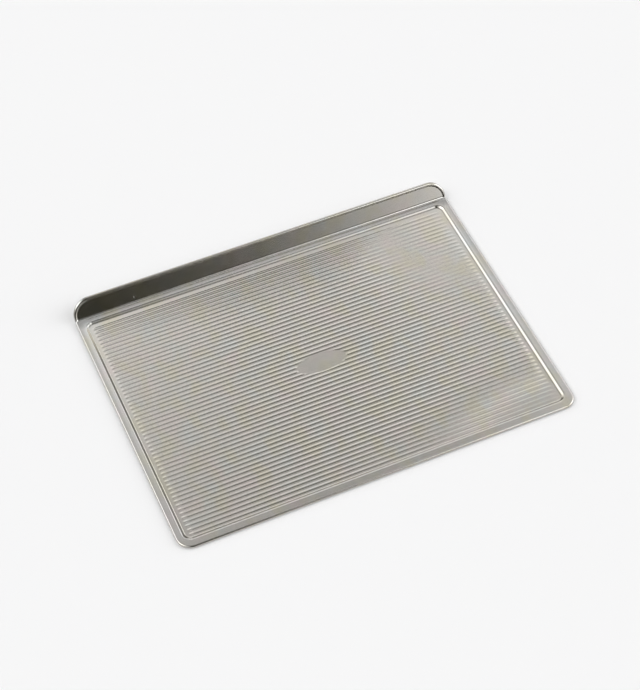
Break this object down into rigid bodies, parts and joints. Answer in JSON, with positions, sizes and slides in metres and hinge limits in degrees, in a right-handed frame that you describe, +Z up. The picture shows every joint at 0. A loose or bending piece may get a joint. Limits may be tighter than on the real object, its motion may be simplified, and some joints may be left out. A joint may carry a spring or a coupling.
{
  "type": "cookie sheet",
  "caption": "Flat rectangular baking sheet with a sunken fluted field, a wire-rolled edge and one raised lip along its back for gripping.",
  "frame": {"origin": "middle of the footprint, at the level the rolled edge rests on", "axes": "+X along the long side, +Y towards the raised lip, +Z up"},
  "size_m": [0.4572, 0.3386, 0.0241],
  "materials": {
    "coated_steel": "satin aluminised steel under a clear release coating",
    "wire_steel": "bright drawn steel wire"
  },
  "bodies": {
    "root": {"baking_sheet": "coated_steel", "rim_wire": "wire_steel"}
  },
  "joints": []
}
